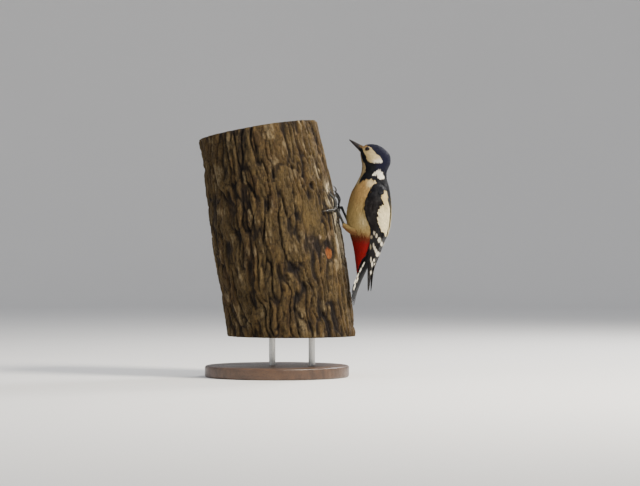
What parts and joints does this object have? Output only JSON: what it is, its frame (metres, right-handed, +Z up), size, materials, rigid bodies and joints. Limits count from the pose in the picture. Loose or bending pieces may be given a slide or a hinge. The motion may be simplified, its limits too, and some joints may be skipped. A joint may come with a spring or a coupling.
{
  "type": "great spotted woodpecker model",
  "caption": "Adult female great spotted woodpecker clinging upright to a short cut length of trunk on a round display stand, a still life-size model.",
  "frame": {"origin": "centre of the stand's underside, on the surface it rests on", "axes": "+Z up along the standing model; the bird is on the +X side of the trunk and faces -X; its left side is at -Y"},
  "size_m": [0.2401, 0.176, 0.3126],
  "materials": {
    "stand_wood": "dark satin varnish",
    "stand_steel": "satin",
    "bark": "rough furrowed bark with sawn ends",
    "white_feather": "soft short feathers",
    "buff_feather": "soft loose feathers",
    "red_feather": "soft loose feathers",
    "black_feather": "glossy feathers with a blue sheen",
    "bill_horn": "satin horn",
    "eye_gloss": "wet gloss",
    "leg_scale": "scaly, matt",
    "claw_horn": "polished horn"
  },
  "bodies": {
    "root": {"bill_lower": "bill_horn", "bill_upper": "bill_horn", "eye_left": "eye_gloss", "eye_right": "eye_gloss", "foot_left_hind_toe": "leg_scale", "foot_left_hind_toe_claw": "claw_horn", "foot_left_inner_toe": "leg_scale", "foot_left_inner_toe_claw": "claw_horn", "foot_left_middle_toe": "leg_scale", "foot_left_middle_toe_claw": "claw_horn", "foot_left_outer_toe": "leg_scale", "foot_left_outer_toe_claw": "claw_horn", "foot_left_pad": "leg_scale", "foot_right_hind_toe": "leg_scale", "foot_right_hind_toe_claw": "claw_horn", "foot_right_inner_toe": "leg_scale", "foot_right_inner_toe_claw": "claw_horn", "foot_right_middle_toe": "leg_scale", "foot_right_middle_toe_claw": "claw_horn", "foot_right_outer_toe": "leg_scale", "foot_right_outer_toe_claw": "claw_horn", "foot_right_pad": "leg_scale", "head": "white_feather", "leg_left_tarsus": "leg_scale", "leg_left_thigh": "buff_feather", "leg_right_tarsus": "leg_scale", "leg_right_thigh": "buff_feather", "neck": "black_feather", "perch_log": "bark", "rump": "red_feather", "stand_base": "stand_wood", "stand_rod_1": "stand_steel", "stand_rod_2": "stand_steel", "tail": "black_feather", "torso": "buff_feather", "wing_left_coverts": "black_feather", "wing_left_primaries": "black_feather", "wing_left_secondaries": "black_feather", "wing_right_coverts": "black_feather", "wing_right_primaries": "black_feather", "wing_right_secondaries": "black_feather"}
  },
  "joints": []
}
